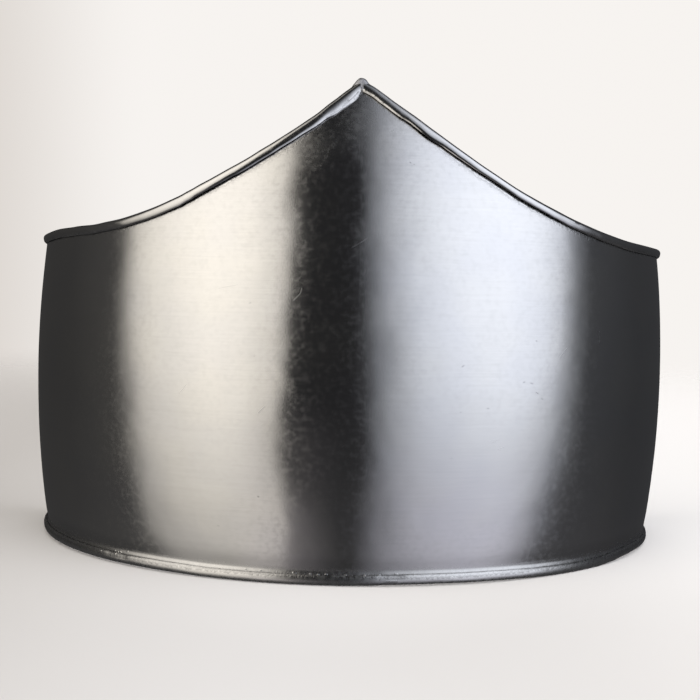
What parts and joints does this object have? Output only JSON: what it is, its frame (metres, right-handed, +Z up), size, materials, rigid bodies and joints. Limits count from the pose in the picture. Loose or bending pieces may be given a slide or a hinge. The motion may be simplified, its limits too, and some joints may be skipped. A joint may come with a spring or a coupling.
{
  "type": "plackart",
  "caption": "Belly plate of a suit of armour: a curved steel sheet that rises to a point at the front, with hems folded outwards along its top and bottom edges.",
  "frame": {"origin": "on the ground under the middle of the plate's box, the plate standing on its bottom hem", "axes": "+X across the plate towards the right of its front view, its longest extent; +Y from the front into the open hollow; +Z up towards the peak"},
  "size_m": [0.3912, 0.1734, 0.258],
  "materials": {
    "polished_steel": "finely brushed and polished sheet steel with light scratches"
  },
  "bodies": {
    "root": {"belly_plate": "polished_steel"}
  },
  "joints": []
}
